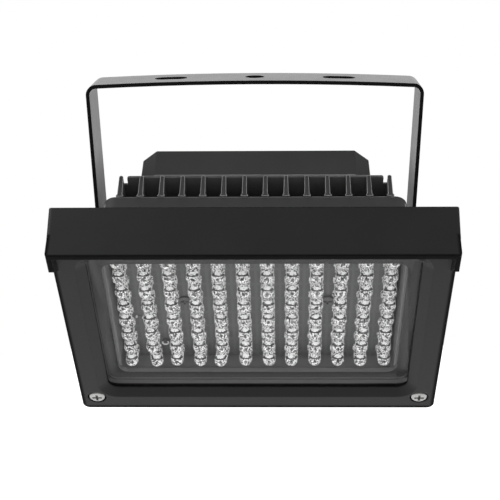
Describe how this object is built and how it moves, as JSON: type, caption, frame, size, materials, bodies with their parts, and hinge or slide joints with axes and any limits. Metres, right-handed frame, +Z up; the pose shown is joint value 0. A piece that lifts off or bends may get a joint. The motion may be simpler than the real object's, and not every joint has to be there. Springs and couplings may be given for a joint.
{
  "type": "infrared illuminator",
  "caption": "Black infrared floodlight with rows of clear diodes behind glass, visor, rear cooling fins, driver box and a tilting strip bracket",
  "frame": {"origin": "centre of the bracket's crossbar on its outer face, in the middle of the centre hole", "axes": "X to the right seen from the lit side, Y from the lit side to the back, Z up out of the bracket's mounting face; the head hangs below"},
  "size_m": [0.1412, 0.1164, 0.1343],
  "materials": {
    "frame_paint": "satin black powder coat on the cast frame and its visor",
    "housing_paint": "matter black powder coat on the cast housing, plate and driver box",
    "strip_paint": "glossier black paint on the folded strip",
    "clear_glass": "clear toughened plate",
    "clear_resin": "clear cast resin of the diodes",
    "mask_black": "dark grey satin moulding",
    "board_mask": "dark solder mask on circuit boards",
    "sensor_dark": "smoky resin",
    "bright_steel": "zinc plated or stainless screws and washers",
    "black_screw": "grey painted head",
    "window_seal": "dark grey rubber ring round the glass",
    "seal_rubber": "black rubber",
    "gland_plastic": "black nylon",
    "part_dark": "dark component bodies",
    "can_metal": "plain aluminium cans",
    "copper_coil": "enamelled copper winding",
    "terminal_green": "moulded terminal block",
    "lead_cover": "insulated hook-up wire"
  },
  "bodies": {
    "wall_bracket": {"bracket": "strip_paint"},
    "lamp_head": {"board_screws": "black_screw", "driver_base_plate": "housing_paint", "driver_board": "board_mask", "driver_board_screws": "bright_steel", "driver_box": "housing_paint", "driver_box_screws": "bright_steel", "driver_box_seal": "seal_rubber", "driver_capacitors": "can_metal", "driver_chip": "part_dark", "driver_coil": "copper_coil", "driver_spacers": "gland_plastic", "frame_screws": "bright_steel", "friction_washers": "gland_plastic", "front_frame": "frame_paint", "front_glass": "clear_glass", "gland_body": "gland_plastic", "gland_cap": "gland_plastic", "gland_locknut": "gland_plastic", "gland_ring": "seal_rubber", "gland_seal": "seal_rubber", "glass_seal": "window_seal", "led_board": "board_mask", "led_column_01": "clear_resin", "led_column_02": "clear_resin", "led_column_03": "clear_resin", "led_column_04": "clear_resin", "led_column_05": "clear_resin", "led_column_06": "clear_resin", "led_column_07": "clear_resin", "led_column_08": "clear_resin", "led_column_09": "clear_resin", "led_column_10": "clear_resin", "led_column_11": "clear_resin", "led_column_12": "clear_resin", "led_leads": "lead_cover", "light_sensor": "sensor_dark", "pivot_bolts": "bright_steel", "pivot_washers": "bright_steel", "rear_housing": "housing_paint", "spring_washers": "bright_steel", "terminal_block": "terminal_green", "tunnel_grommet": "seal_rubber", "window_mask": "mask_black"}
  },
  "joints": [
    {"name": "head_tilt", "type": "hinge", "parent": "wall_bracket", "child": "lamp_head", "pos_m": [0, 0, -0.0805], "axis": [1, 0, 0], "range_deg": [-33, 138]}
  ]
}
